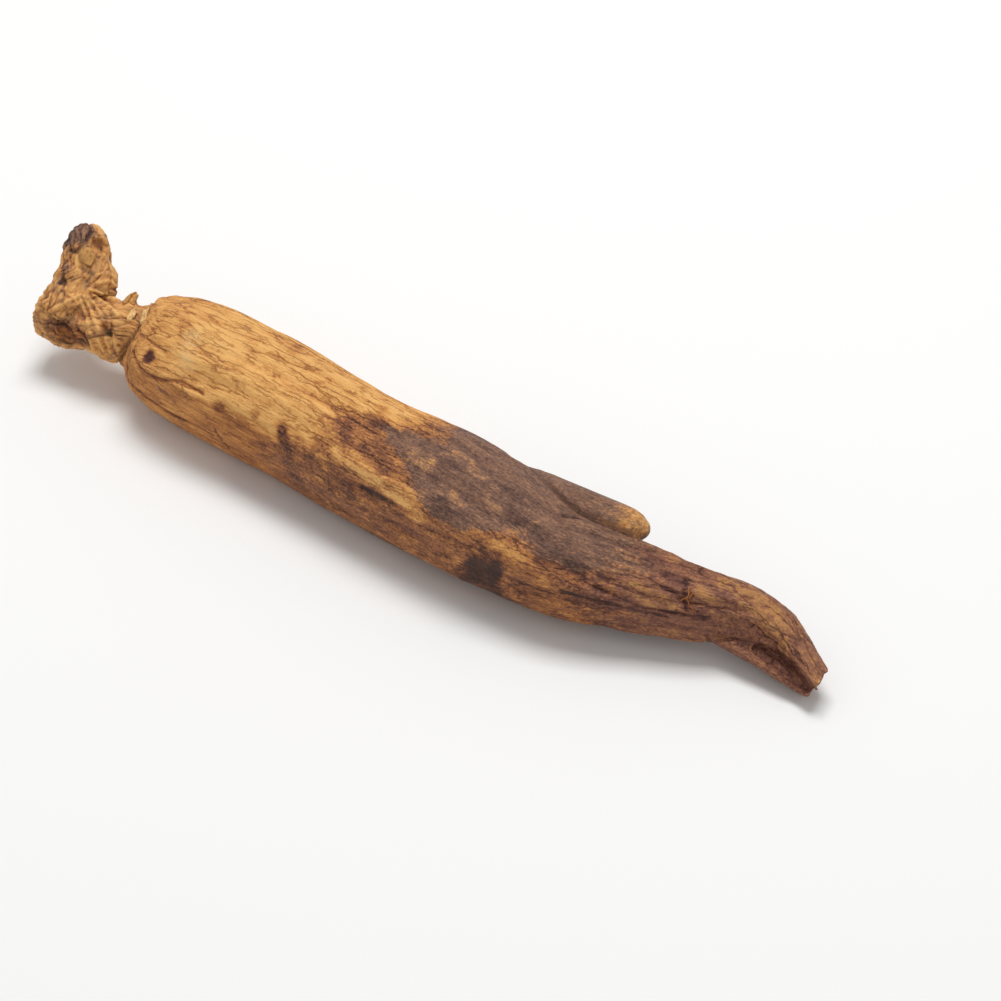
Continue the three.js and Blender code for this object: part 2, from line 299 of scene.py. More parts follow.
# Loose strands: the colour, the radius in mm, and each strand's points in mm.
STRANDS = {
    "tail_fibres": (
        "fibre",
        0.18,
        (
            ((113.8, 7.4, 13.0), (114.4, 6.4, 12.7), (114.6, 5.9, 12.2), (114.5, 5.7, 11.4)),
            ((114.5, 5.8, 12.0), (115.0, 5.8, 11.2), (115.6, 5.9, 10.7), (116.5, 5.9, 10.1)),
            ((115.0, 6.9, 12.9), (114.9, 6.2, 12.5), (114.8, 5.9, 12.0)),
            ((114.5, 5.9, 12.2), (114.0, 5.6, 11.7), (113.4, 5.5, 11.5)),
        ),
    ),
    "rootlet_splinter": (
        "scale",
        0.45,
        (
            ((-0.4, 3.0, 15.0), (-0.5, 4.4, 16.2), (0.0, 5.7, 17.5)),
            ((0.5, 3.3, 15.2), (0.3, 4.4, 16.0), (0.8, 5.5, 16.7)),
            ((-1.0, 3.2, 15.0), (-1.0, 4.2, 15.9), (-0.9, 5.0, 16.6)),
        ),
    ),
}


class RootShape(bpy.types.PropertyGroup):
    """How deep the root's surface is worked."""

    mesh_size: FloatProperty(
        name="Mesh size",
        description="Edge length of the skin's faces",
        default=0.44 * MM,
        min=0.2 * MM,
        unit="LENGTH",
    )
    furrow_depth: FloatProperty(
        name="Furrow depth",
        description="Depth of the long furrows of the body",
        default=0.26 * MM,
        unit="LENGTH",
    )
    wrinkle_depth: FloatProperty(
        name="Wrinkle depth",
        description="Depth of the fine wrinkles between the furrows",
        default=0.11 * MM,
        unit="LENGTH",
    )
    fold_depth: FloatProperty(
        name="Fold depth",
        description="Depth of the folds of the gnarled head",
        default=0.6 * MM,
        unit="LENGTH",
    )


def linear(hex_code):
    """An sRGB hex colour as linear RGBA."""
    channels = (int(hex_code[i : i + 2], 16) / 255 for i in (1, 3, 5))
    return (*(c / 12.92 if c <= 0.04045 else ((c + 0.055) / 1.055) ** 2.4 for c in channels), 1.0)


def colour(name, description, hex_code):
    """A colour setting with an sRGB default, kept as linear."""
    return FloatVectorProperty(
        name=name,
        description=description,
        subtype="COLOR",
        size=4,
        min=0.0,
        max=1.0,
        default=linear(hex_code),
    )


class RootColours(bpy.types.PropertyGroup):
    """The stains of the steamed root, from rubbed bark to scorched skin. The darkest ones also stand for
    painted shade in hollows, crevices and grooves.
    """

    pale: colour("Pale bark", "Rubbed bark near the shoulder", "#f4cb8c")
    gold: colour("Gold", "Dry golden bark", "#f2b96f")
    amber: colour("Amber", "Golden bark where it is less rubbed", "#db9b56")
    tan: colour("Tan", "Bark between gold and brown", "#b87843")
    brown: colour("Brown", "Steamed brown bark", "#8f5938")
    umber: colour("Umber", "Dark brown bark", "#6a3f2a")
    # Scorch is also the painted shade of the deepest crevices.
    scorch: colour("Scorch", "Darkest patches and crevices", "#442b22")
    scuff: colour("Scuff", "Rubbed specks of the steamed skin", "#b08663")
    plum_light: colour("Light plum", "Raised grain of the steamed skin", "#9a7056")
    plum: colour("Plum", "Steamed skin", "#785645")
    # Deep plum is also the painted shade of the skin's hollows.
    plum_deep: colour("Deep plum", "Hollows of the steamed skin", "#563a30")
    ochre: colour("Ochre", "Rubbed crests of the tail", "#bd8650")
    russet: colour("Russet", "Red-brown skin of the tail", "#9a664a")
    mahogany: colour("Mahogany", "Dark red-brown skin of the tail", "#7a4d3d")
    # Maroon is also the painted shade of the tail's hollows.
    maroon: colour("Maroon", "Hollows of the tail", "#562f27")
    flake: colour("Flake", "Loose bark on the neck", "#fbcb8a")
    scale: colour("Bud scale", "Dry scales of the head", "#cb9659")
    fibre: colour("Fibre", "Frayed fibres", "#a8693a")


class StudioStage(bpy.types.PropertyGroup):
    """The camera, light and floor."""

    azimuth: FloatProperty(
        name="Azimuth",
        description="Direction the camera looks from",
        default=math.radians(38),
        subtype="ANGLE",
    )
    elevation: FloatProperty(
        name="Elevation",
        description="Height of the camera above the horizon",
        default=math.radians(42),
        subtype="ANGLE",
    )
    distance: FloatProperty(
        name="Distance",
        description="From the camera to its target",
        default=451 * MM,
        unit="LENGTH",
    )
    target: FloatVectorProperty(
        name="Target",
        description="What the camera points at",
        default=(14.11 * MM, 5.81 * MM, 6.13 * MM),
        subtype="TRANSLATION",
    )
    lens: FloatProperty(
        name="Lens",
        description="Focal length in millimetres on a 36 mm sensor",
        default=100.0,
    )
    floor: colour("Floor", "Pale studio floor", "#f6f6f5")


def smoothstep(low, high, value):
    """0 below low, 1 above high, smooth between."""
    share = np.clip((value - low) / (high - low), 0.0, 1.0)
    return share * share * (3 - 2 * share)


def perlin(points, grain):
    """Smooth noise from -1 to 1 at each point, with grains of that size in mm along each axis."""
    return np.array([noise.noise(p) for p in (points / np.array(grain)).tolist()])


def crease(wave, sharpness):
    """Sharp valleys where a noise crosses zero: -1 in the valley, 0 away from it."""
    return np.minimum(1.0, np.abs(wave) * sharpness) ** 0.7 - 1.0


def ridge(wave, sharpness):
    """Sharp crests where a noise crosses zero: 1 on the crest, 0 away from it."""
    return (1.0 - np.minimum(1.0, np.abs(wave) * sharpness)) ** 2


def limb_line(points):
    """A limb's line at even steps: along, centres, radii, and its forward, across and over directions."""
    line = np.array(points, float)
    gaps = np.linalg.norm(np.diff(line[:, :3], axis=0), axis=1)
    chord = np.concatenate(([0.0], np.cumsum(gaps)))
    along = np.arange(0.0, chord[-1], LINE_STEP)
    dense = np.column_stack([np.interp(along, chord, line[:, i]) for i in range(4)])
    for _ in range(LINE_ROUNDS):
        dense[1:-1] = (dense[:-2] + 2 * dense[1:-1] + dense[2:]) / 4
    forward = np.gradient(dense[:, :3], axis=0)
    forward /= np.linalg.norm(forward, axis=1)[:, None]
    across = np.cross((0.0, 0.0, 1.0), forward)
    across /= np.linalg.norm(across, axis=1)[:, None]
    over = np.cross(forward, across)
    return along, dense[:, :3], dense[:, 3], forward, across, over


def plates(points, size):
    """Plates that each lean their own way: heights, distances from the nearest crack, and shades."""
    lean_seed, shade_seed = 3.7, 5.3
    heights = np.empty(len(points))
    gaps = np.empty(len(points))
    shades = np.empty(len(points))
    for row, point in enumerate((points / np.array(size)).tolist()):
        distances, centres = noise.voronoi(point)
        lean = noise.noise_vector(centres[0] * lean_seed)
        shades[row] = noise.noise(centres[0] * shade_seed)
        heights[row] = lean.dot(Vector(point) - centres[0]) + 0.4 * shades[row]
        gaps[row] = distances[1] - distances[0]
    return heights, gaps, shades


class Skin:
    """The root's surface as arrays in mm, with each point placed on its limb."""

    def __init__(self, mesh):
        count = len(mesh.vertices)
        self.points = np.empty(count * 3)
        mesh.vertices.foreach_get("co", self.points)
        self.points = self.points.reshape(-1, 3) / MM - SHOULDER
        self.normals = np.empty(count * 3)
        mesh.vertices.foreach_get("normal", self.normals)
        self.normals = self.normals.reshape(-1, 3)
        self.edges = np.empty(len(mesh.edges) * 2, dtype=np.int32)
        mesh.edges.foreach_get("vertices", self.edges)
        self.edges = self.edges.reshape(-1, 2)
        x, y, z = (self.points - np.array(RIM_AT)).T
        self.past_rim = x - RIM_LEAN[0] * y - RIM_LEAN[1] * z
        self.limb = np.zeros(count, dtype=np.int32)
        self.grain = np.zeros((count, 3))
        self.radius = np.ones(count)
        self.place_on_limbs()
        self.along = self.grain[:, 0].copy()
        self.around = np.degrees(np.arctan2(self.grain[:, 2], self.grain[:, 1])) % 360
        self.grain = self.relax(self.grain, 6)
        # Noise that makes the edges of marks uneven, along the limb and round it.
        self.jitter_along = perlin(self.grain + 40, (2.5, 1.6, 1.6))
        self.jitter_along += 0.6 * perlin(self.grain, (0.9, 0.7, 0.7))
        self.jitter_around = perlin(self.grain - 40, (3.5, 1.4, 1.4))
        self.jitter_around += 0.6 * perlin(self.grain + 7, (1.2, 0.7, 0.7))
        # 1 on the head and neck and 0 on the body, with an uneven edge along the rim.
        self.head = 1 - smoothstep(-0.4, 0.4, self.past_rim + 0.5 * self.jitter_around)
        self.side_leg = self.relax(self.on("side_leg"), 4)
        self.crests = [self.line(points, half_width) for points, half_width, _ in HEAD_RIDGES]
        self.crevices = [self.line(points, half_width) for points, half_width, _ in CREVICES]

        # Plates of the head, on a grain that is bent so that no edge runs straight.
        inside = self.head > 0
        bends = [perlin(self.grain[inside] + shift, (4, 4, 4)) for shift in (0, 31, 62)]
        self.bent = self.grain.copy()
        self.bent[inside] += 0.9 * np.column_stack(bends)
        self.plate_height = np.zeros(count)
        self.plate_gap = np.ones(count)
        self.plate_shade = np.zeros(count)
        found = plates(self.bent[inside], (5.2, 2.9, 2.9))
        self.plate_height[inside], self.plate_gap[inside], self.plate_shade[inside] = found

    def place_on_limbs(self):
        """Gives each point its limb, and its place along, across and over that limb's line."""
        nearest = np.full(len(self.points), np.inf)
        rows = self.points.tolist()
        for number, (points, sign) in enumerate(LIMBS.values()):
            along, centres, radii, forward, across, over = limb_line(points)
            tree = kdtree.KDTree(len(centres))
            for index, centre in enumerate(centres.tolist()):
                tree.insert(centre, index)
            tree.balance()
            found = np.array([tree.find(row)[1] for row in rows])
            offset = self.points - centres[found]
            share = np.linalg.norm(offset, axis=1) / radii[found]
            own = (share < nearest) & (sign * self.past_rim > 0)
            nearest[own] = share[own]
            self.limb[own] = number
            self.radius[own] = radii[found][own]
            start = points[0][0]
            ahead = along[found] + (offset * forward[found]).sum(1)
            local = np.column_stack(
                (start + sign * ahead, (offset * across[found]).sum(1), (offset * over[found]).sum(1))
            )
            self.grain[own] = local[own]

    def on(self, *names):
        """1 for points on the named limbs, 0 for the others."""
        numbers = [list(LIMBS).index(name) for name in names]
        return np.isin(self.limb, numbers).astype(float)

    def relax(self, values, rounds):
        """Values averaged with their neighbours, so many times over."""
        first, second = self.edges.T
        count = len(self.points)
        neighbours = np.bincount(first, minlength=count) + np.bincount(second, minlength=count)
        columns = values.reshape(count, -1).astype(float)
        for _ in range(rounds):
            total = np.empty_like(columns)
            for i in range(columns.shape[1]):
                column = columns[:, i]
                total[:, i] = np.bincount(first, column[second], count)
                total[:, i] += np.bincount(second, column[first], count)
            columns = (columns + total / neighbours[:, None]) / 2
        return columns.reshape(values.shape)

    def stroke(self, points, half_width, ragged=0.0, soft=0.85):
        """1 on a stroke along the body, fading to 0 over a soft share of its half width; ragged is in mm."""
        degree = self.radius * math.pi / 180
        nearest = np.full(len(self.points), np.inf)
        for (from_along, from_around), (to_along, to_around) in zip(points, points[1:]):
            turn = (self.around - from_around + 180) % 360 - 180
            x = self.along - from_along + ragged * self.jitter_along
            y = turn * degree + ragged * self.jitter_around
            reach_x = to_along - from_along
            reach_y = (to_around - from_around) * degree
            share = np.clip((x * reach_x + y * reach_y) / (reach_x**2 + reach_y**2), 0, 1)
            nearest = np.minimum(nearest, np.hypot(x - share * reach_x, y - share * reach_y))
        return self.on("body") * (1 - smoothstep(half_width * (1 - soft), half_width * (1 + soft), nearest))

    def line(self, points, half_width):
        """1 on a line through points in mm, fading to 0 about one half width outside it."""
        nearest = np.full(len(self.points), np.inf)
        for start, end in zip(np.array(points, float), np.array(points[1:], float)):
            reach = end - start
            offset = self.points - start
            share = np.clip(offset @ reach / (reach @ reach), 0, 1)
            nearest = np.minimum(nearest, np.linalg.norm(offset - share[:, None] * reach, axis=1))
        return 1 - smoothstep(half_width * 0.3, half_width * 1.9, nearest)

    def near(self, place, inner, outer):
        """1 within one distance of a place in mm, fading to 0 at another."""
        gap = np.linalg.norm(self.points - np.array(place), axis=1) + 0.4 * self.jitter_along
        return 1 - smoothstep(inner, outer, gap)

    def strongest(self, strokes, ragged, soft=0.85):
        """The strongest of several strokes at each point."""
        marks = [strength * self.stroke(points, width, ragged, soft) for points, width, strength in strokes]
        return np.max(marks, axis=0)


def pit_spot(along, around):
    """A pit's place on the body, as the shortest of strokes."""
    return (along, around), (along + 0.1, around)


def relief_of(skin, shape):
    """How far the surface stands out or in, in mm, at each point of the skin."""
    furrow = shape.furrow_depth / MM
    wrinkle = shape.wrinkle_depth / MM
    fold = shape.fold_depth / MM
    grain = skin.grain
    tail = smoothstep(84, 104, skin.along) * (1 - skin.head)
    calm = 1 - 0.7 * skin.side_leg

    # Bark of the body and tail: long furrows, short wrinkles, the tail's own folds and broad swells, the
    # crust on the bend, then the grooves and pits. Sizes of grains are mm along, across and over.
    bark = furrow * (1 - 0.3 * tail) * crease(perlin(grain, (34, 2.6, 2.6)), 3)
    bark += wrinkle * crease(perlin(grain + 70, (12, 1.1, 1.1)), 2.5)
    bark += 0.42 * tail * crease(perlin(grain + 90, (22, 1.4, 1.4)), 2.0)
    bark += 0.2 * perlin(grain, (18, 7, 7))
    bark += 0.5 * skin.stroke(CRUST, 2.6) * crease(perlin(grain + 15, (1.8, 1.1, 1.1)), 1.8)
    for points, half_width, depth in GROOVES:
        bark -= depth * skin.stroke(points, half_width)
    for along, around, radius, darkness in PITS:
        bark -= 0.6 * darkness * skin.stroke(pit_spot(along, around), radius, 0.1, 0.4)

    # Knots of the head: leaning plates with cracks between them, folds, creases and grit, then its ridges,
    # crevices and hollow. The skin is calmer round the stem's stump and under the bud scale.
    bent = skin.bent
    knots = fold * (0.85 * skin.plate_height - 0.3 * (1 - smoothstep(0.0, 0.1, skin.plate_gap)))
    knots += 0.4 * fold * ridge(perlin(bent, (9, 1.5, 1.5)), 2.4)
    knots += 0.34 * fold * crease(perlin(bent + 50, (6, 0.9, 0.9)), 2.6)
    knots += 0.12 * fold * perlin(grain, (1.3, 0.9, 0.9))
    knots *= 1 - 0.7 * np.max(skin.crests, axis=0)
    for crest, (_, _, height) in zip(skin.crests, HEAD_RIDGES):
        knots += height * crest
    for crevice, (_, _, depth) in zip(skin.crevices, CREVICES):
        knots -= depth * crevice
    knots += skin.line(HEAD_HOLLOW, 1.5) * (0.7 * perlin(grain, (1.2, 0.9, 0.9)) - 0.7)
    knots *= 1 - 0.6 * skin.near(STEM_RING, 2.0, 3.2)
    knots *= 1 - 0.85 * skin.line(BUD_SCALE_BED, 1.2)

    # A narrow groove parts the neck from the shoulder. The rootlet's stub and the belly stay smooth.
    relief = bark * calm * (1 - skin.head) + knots * skin.head
    relief -= 0.35 * (1 - smoothstep(0.1, 0.7, np.abs(skin.past_rim + 0.3 * skin.jitter_around)))
    relief *= 1 - skin.line(ROOTLET_LINE, 1.0)
    above_floor = smoothstep(0.2, 2.2, skin.points[:, 2])
    return relief * above_floor


def masks_of(skin, moved):
    """How strong each stain and finish is, about 0 to 1, once the points have moved out to their relief."""
    head = skin.head
    body = 1 - head
    grain = skin.grain
    # How far each point is sunk among its neighbours, as a share of this many mm.
    full_depth = 0.14
    sunk = ((skin.relax(moved, 14) - moved) * skin.normals).sum(1) / full_depth
    sunk = np.clip(sunk, -1, 1)
    ragged = 2.4 * perlin(grain, (7, 3, 3)) + 1.4 * skin.jitter_along
    angle = skin.around + 4 * skin.jitter_around

    # Tone of the body, from 0 for gold to 1 for scorched: the dark end, the flank and the far side, then its
    # strokes, crust, pits and grooves, the leg's worn tip and the tail. The flank is darker partly for its
    # browner bark and partly as painted shade; the grooves and the hollow by the thin leg are darkened as
    # painted shade, and the pits partly so; the upward faces of the leg's tip are lightened partly as
    # painted highlight.
    turns, starts = np.array(DARK_FROM).T
    past_gold = skin.along + ragged - np.interp(angle % 360, turns, starts)
    dark = smoothstep(-4, 5, past_gold)
    # The flank is darker partly because its bark is browner and partly as painted shade, since it faces away
    # from the softbox.
    flank = smoothstep(154, 161, angle) * (1 - smoothstep(330, 355, angle))
    far_side = 1 - smoothstep(30, 72, angle)
    tone = 0.08 + 0.46 * dark + (0.27 - 0.2 * dark) * flank + 0.14 * far_side * (1 - dark)
    light = skin.strongest(LIGHT_STROKES, 0.9)
    tone += skin.strongest(DARK_STROKES, 0.9) - light
    tone += 0.14 * (1 - smoothstep(7, 24, skin.along)) * (1 - flank)
    # Further along, the flank darkens more: browner bark and painted shade together.
    tone += 0.12 * flank * smoothstep(22, 36, skin.along) * (1 - dark)
    tone += 0.5 * skin.stroke(CRUST, 2.2) * perlin(grain + 25, (0.9, 0.55, 0.55))
    # Pits darken partly as their scar's own colour and partly as painted shade in their hollows.
    pits = [(pit_spot(along, around), radius, darkness) for along, around, radius, darkness in PITS]
    pits = skin.strongest(pits, 0.18, 0.5)
    tone += pits
    # The grooves are darkened as painted shade.
    grooves = [(points, half_width, 0.3) for points, half_width, _ in GROOVES]
    tone += skin.strongest(grooves, 0.0)
    # The leg's tip is lightened only where it faces up: partly worn ochre bark, partly painted highlight.
    tip = skin.on("side_leg") * smoothstep(95.5, 101.5, skin.along + 1.3 * skin.jitter_along)
    tip = skin.relax(tip * smoothstep(-0.1, 0.5, skin.normals[:, 2]), 2)
    tone += tip * (0.5 * perlin(grain + 5, (1.1, 0.6, 0.6)) - 0.12)
    # The hollow between the tail and its thin leg is darkened as painted shade; its red skin is its own
    # colour.
    hollow = skin.line(LEG_HOLLOW, 0.8)
    tone += 0.16 * hollow
    tone -= 0.13 * smoothstep(98, 110, skin.along) * body

    # Tone of the head: its plates and cracks, the hollow and its rim, crevices, ridges and stains. The
    # cracks, the hollow and its rim, the crevices and the creases are darkened as painted shade, and the
    # ridges are lightened as painted highlight.
    head_tone = 0.26 - 0.06 * smoothstep(-6, 2, skin.points[:, 0]) + 0.24 * skin.plate_shade
    # The cracks between the plates are darkened as painted shade.
    head_tone += 0.24 * (1 - smoothstep(0.02, 0.12, skin.plate_gap))
    opening = skin.line(HEAD_HOLLOW, 1.6)
    head_tone += 0.2 * opening + 0.8 * opening * (1 - opening)
    head_tone += 0.24 * np.max(skin.crevices, axis=0) - 0.12 * np.max(skin.crests, axis=0)
    # The creases of the relief are darkened as painted shade.
    head_tone += 0.26 * ridge(perlin(skin.bent + 50, (6, 0.9, 0.9)), 4.0)
    head_tone -= 0.15 * skin.line(ROOTLET_LINE, 1.2)
    head_plum = 0.14 + 0.3 * perlin(grain + 60, (3.5, 2.5, 2.5))
    for middle, reach, darkening, plum in HEAD_STAINS:
        stain = skin.near(middle, 0.5 * reach, 1.35 * reach)
        head_tone += darkening * stain
        head_plum = np.maximum(head_plum, plum * stain)
    dusty = head * (1 - opening) * (1 - np.clip(2 * head_plum, 0, 1))
    tone = tone * body + head_tone * head
    # Points sunk among their neighbours are darkened as painted shade, and raised points are lightened as
    # painted highlight.
    tone += 0.12 * np.maximum(sunk, 0) + (0.05 + 0.07 * head) * np.minimum(sunk, 0)
    # The groove that parts the neck from the shoulder is darkened as painted shade.
    tone += 0.2 * (1 - smoothstep(0.0, 0.6, np.abs(skin.past_rim + 0.3 * skin.jitter_around)))

    # The plum skin lies over the top of the dark end and the side leg, and the red skin on the tail. The
    # degrees round are mirrored at the middle of the plum skin, so that both its edges fade alike.
    alongs, edges = np.array(PLUM_EDGE).T
    mirrored = np.abs((skin.around - PLUM_MIDDLE + 180) % 360 - 180) + PLUM_MIDDLE
    edge = np.interp(skin.along, alongs, edges) + 7 * skin.jitter_around
    plum = smoothstep(-2, 6, past_gold - 3)
    plum *= 1 - smoothstep(edge - 10, edge + 10, mirrored)
    red = smoothstep(88, 112, skin.along + 2 * ragged) * body
    plum *= 1 - 0.85 * smoothstep(96, 112, skin.along + ragged)
    plum = np.maximum(plum, skin.side_leg)
    plum *= 1 - np.minimum(1, 1.5 * light)
    plum = np.maximum(plum * (1 - tip) * body, head_plum * head)

    # The cut end of the tail is red-brown all over.
    at, facing = (np.array(value) for value in TAIL_CUT)
    beyond = (skin.points - at) @ (facing / np.linalg.norm(facing))
    cut = smoothstep(-0.5, -0.2, beyond)
    tone = tone * (1 - cut) + 0.42 * cut
    return {
        "tone": tone,
        "plum": plum,
        "red": np.maximum.reduce((red * (1 - skin.side_leg), np.minimum(1, 1.6 * pits), hollow, cut)),
        "steam": np.maximum(dark * body, head_plum * head),
        # The pale layer also takes the leg's tip, which is partly painted highlight.
        "pale": np.maximum.reduce((skin.strongest(PALE_STROKES, 0.9), 0.4 * tip, 0.42 * dusty)),
        "bark": body * (1 - 0.7 * plum) * (1 - 0.5 * flank) * (1 - 0.8 * skin.side_leg),
    }


def node(tree, kind, inputs=None, output=0, **settings):
    """Adds a shader node and gives one of its outputs; an input is a value or an output that feeds it."""
    made = tree.nodes.new(kind)
    for name, value in settings.items():
        setattr(made, name, value)
    for key, value in (inputs or {}).items():
        if isinstance(value, bpy.types.NodeSocket):
            tree.links.new(value, made.inputs[key])
        else:
            made.inputs[key].default_value = value
    return made.outputs[output]


# Socket numbers of the Mix node when it mixes colours, and of the Map Range node.
MIX_FACTOR, MIX_A, MIX_B, MIX_RESULT = 0, 6, 7, 2
FROM_MIN, FROM_MAX, TO_MIN, TO_MAX = 1, 2, 3, 4
# The middle of a noise and of a colour ramp, which both run from 0 to 1.
MIDDLE = 0.5
# Each noise starts this far from the one before, so no two look alike.
NOISES_APART = 13.7
# Cells of the bark between fine cracks: mm along, across and over, and how far a noise bends them.
CELL_SIZE = (11, 1.4, 1.4)
CELL_BEND = (3.0, 1.9, 1.9)
# Depth in mm that the bump of the bark, and of dry fibre, stands for.
BARK_BUMP = 0.22
FIBRE_BUMP = 0.06
# Specks of dry fibre: their size in mm, and the share of the fibre's colour that they keep.
SPECK_SIZE = 0.6
SPECK_SHADE = 0.55


def bark_material(colours):
    """Steamed and dried ginseng bark: matte and fibrous, gold where rubbed, plum where the skin stayed."""
    material = bpy.data.materials.new("dried_ginseng_bark")
    material.use_nodes = True
    tree = material.node_tree
    add = functools.partial(node, tree)
    shader = tree.nodes["Principled BSDF"]
    shader.inputs["Specular IOR Level"].default_value = 0.3

    masks = {
        name: add("ShaderNodeAttribute", output="Fac", attribute_name=name)
        for name in ("tone", "plum", "red", "steam", "pale", "bark")
    }
    grain = add("ShaderNodeAttribute", output="Vector", attribute_name="grain")

    # Each noise is named for what it draws, with the size of its grains in mm along, across and over.
    noises = {}
    for name, size, detail in (
        ("fibre", (4.6, 0.3, 0.3), 4.0),
        ("mottle", (4.5, 2.2, 2.2), 6.0),
        ("grit", (0.55, 0.34, 0.34), 5.0),
        ("scuff", (2.6, 1.4, 1.4), 5.0),
        ("wander", (4.0, 1.6, 1.6), 4.0),
    ):
        place = {
            "Vector": grain,
            "Scale": [1 / mm for mm in size],
            "Location": (len(noises) * NOISES_APART, 0, 0),
        }
        mapped = add("ShaderNodeMapping", place)
        settings = {"Vector": mapped, "Scale": 1.0, "Detail": detail, "Roughness": 0.62}
        noises[name] = add("ShaderNodeTexNoise", settings, output="Color" if name == "wander" else "Fac")

    # Fine cracks: the edges of long narrow cells, bent by one noise and broken by another.
    bend = {0: noises["wander"], 1: CELL_BEND, 2: grain}
    bent = add("ShaderNodeVectorMath", bend, operation="MULTIPLY_ADD")
    long_cells = add("ShaderNodeMapping", {"Vector": bent, "Scale": [1 / mm for mm in CELL_SIZE]})
    edges = add(
        "ShaderNodeTexVoronoi",
        {"Vector": long_cells, "Scale": 1.0},
        output="Distance",
        feature="DISTANCE_TO_EDGE",
    )
    thin = {"Value": edges, FROM_MIN: 0.0, FROM_MAX: 0.075, TO_MIN: 1.0, TO_MAX: 0.0}
    lines = add("ShaderNodeMapRange", thin)
    broken = add("ShaderNodeMapRange", {"Value": noises["mottle"], FROM_MIN: 0.36, FROM_MAX: 0.52})
    cracks = add("ShaderNodeMath", {0: lines, 1: broken}, operation="MULTIPLY")
    cracks = add("ShaderNodeMath", {0: cracks, 1: masks["bark"]}, operation="MULTIPLY")

    # The plum skin covers the bark in ragged patches, and so does the red skin of the tail.
    covers = {}
    for name in ("plum", "red"):
        edge = add("ShaderNodeMath", {0: noises["mottle"], 1: 1.6, 2: masks[name]}, operation="MULTIPLY_ADD")
        edge = add("ShaderNodeMath", {0: noises["grit"], 1: 1.3, 2: edge}, operation="MULTIPLY_ADD")
        covers[name] = add("ShaderNodeMapRange", {"Value": edge, FROM_MIN: 1.7, FROM_MAX: 2.2})

    # The tone runs from gold to scorched. Long fibres break it up on the bark, and grit on the plum skin.
    steamed = add("ShaderNodeMath", {0: covers["plum"], 1: masks["steam"]}, operation="MAXIMUM")
    tone = masks["tone"]
    for name, on_bark, on_skin in (("mottle", 0.6, 0.6), ("fibre", 0.8, 0.5), ("grit", 0.45, 1.2)):
        strength = add("ShaderNodeMapRange", {"Value": steamed, TO_MIN: on_bark, TO_MAX: on_skin})
        swing = add("ShaderNodeMath", {0: noises[name], 1: MIDDLE}, operation="SUBTRACT")
        tone = add("ShaderNodeMath", {0: swing, 1: strength, 2: tone}, operation="MULTIPLY_ADD")
    tone = add("ShaderNodeMath", {0: cracks, 1: 0.3, 2: tone}, operation="MULTIPLY_ADD")
    wear = {"Value": noises["scuff"], FROM_MIN: 0.56, FROM_MAX: 0.7, TO_MIN: 0.0, TO_MAX: -0.26}
    rubbed = add("ShaderNodeMapRange", wear)
    tone = add("ShaderNodeMath", {0: rubbed, 1: steamed, 2: tone}, operation="MULTIPLY_ADD")

    stops_of = {
        "bark": (
            (0.0, colours.gold),
            (0.22, colours.amber),
            (0.44, colours.tan),
            (0.64, colours.brown),
            (0.82, colours.umber),
            (1.0, colours.scorch),
        ),
        "plum": (
            (0.1, colours.scuff),
            (0.34, colours.plum_light),
            (0.58, colours.plum),
            (0.82, colours.plum_deep),
            (1.0, colours.scorch),
        ),
        "red": (
            (0.1, colours.ochre),
            (0.36, colours.russet),
            (0.6, colours.mahogany),
            (0.85, colours.maroon),
            (1.0, colours.scorch),
        ),
    }
    skins = {}
    for name, stops in stops_of.items():
        skins[name] = add("ShaderNodeValToRGB", {"Fac": tone})
        elements = skins[name].node.color_ramp.elements
        while len(elements) < len(stops):
            elements.new(MIDDLE)
        for element, (position, stop_colour) in zip(elements, stops):
            element.position = position
            element.color = stop_colour

    streaks = add("ShaderNodeMapRange", {"Value": noises["fibre"], FROM_MIN: 0.4, FROM_MAX: 0.62})
    patchy = add("ShaderNodeMath", {0: streaks, 1: masks["pale"]}, operation="MULTIPLY")
    finish = skins["bark"]
    layers = ((covers["red"], skins["red"]), (covers["plum"], skins["plum"]), (patchy, colours.pale))
    for factor, top in layers:
        layer = {MIX_FACTOR: factor, MIX_A: finish, MIX_B: top}
        finish = add("ShaderNodeMix", layer, output=MIX_RESULT, data_type="RGBA")
    tree.links.new(finish, shader.inputs["Base Color"])

    gloss = add("ShaderNodeMapRange", {"Value": steamed, TO_MIN: 0.8, TO_MAX: 0.52})
    tree.links.new(gloss, shader.inputs["Roughness"])
    height = add("ShaderNodeMath", {0: cracks, 1: -0.7, 2: noises["fibre"]}, operation="MULTIPLY_ADD")
    height = add("ShaderNodeMath", {0: noises["grit"], 1: 1.1, 2: height}, operation="MULTIPLY_ADD")
    bump = add("ShaderNodeBump", {"Height": height, "Strength": 1.0, "Distance": BARK_BUMP * MM})
    tree.links.new(bump, shader.inputs["Normal"])
    return material


def dry_fibre_material(name, base):
    """Dry plant fibre, torn or peeled: matte, with small brown specks and a faintly rough face."""
    material = bpy.data.materials.new(name)
    material.use_nodes = True
    tree = material.node_tree
    add = functools.partial(node, tree)
    shader = tree.nodes["Principled BSDF"]
    shader.inputs["Roughness"].default_value = 0.85
    shader.inputs["Specular IOR Level"].default_value = 0.25
    place = add("ShaderNodeTexCoord", output="Object")
    settings = {"Vector": place, "Scale": 1 / (SPECK_SIZE * MM), "Detail": 5.0, "Roughness": 0.65}
    speck = add("ShaderNodeTexNoise", settings, output="Fac")
    clean = add("ShaderNodeMapRange", {"Value": speck, FROM_MIN: 0.36, FROM_MAX: 0.56})
    dark = (*(channel * SPECK_SHADE for channel in base[:3]), 1.0)
    layer = {MIX_FACTOR: clean, MIX_A: dark, MIX_B: tuple(base)}
    specked = add("ShaderNodeMix", layer, output=MIX_RESULT, data_type="RGBA")
    tree.links.new(specked, shader.inputs["Base Color"])
    bump = add("ShaderNodeBump", {"Height": speck, "Strength": 0.5, "Distance": FIBRE_BUMP * MM})
    tree.links.new(bump, shader.inputs["Normal"])
    return material


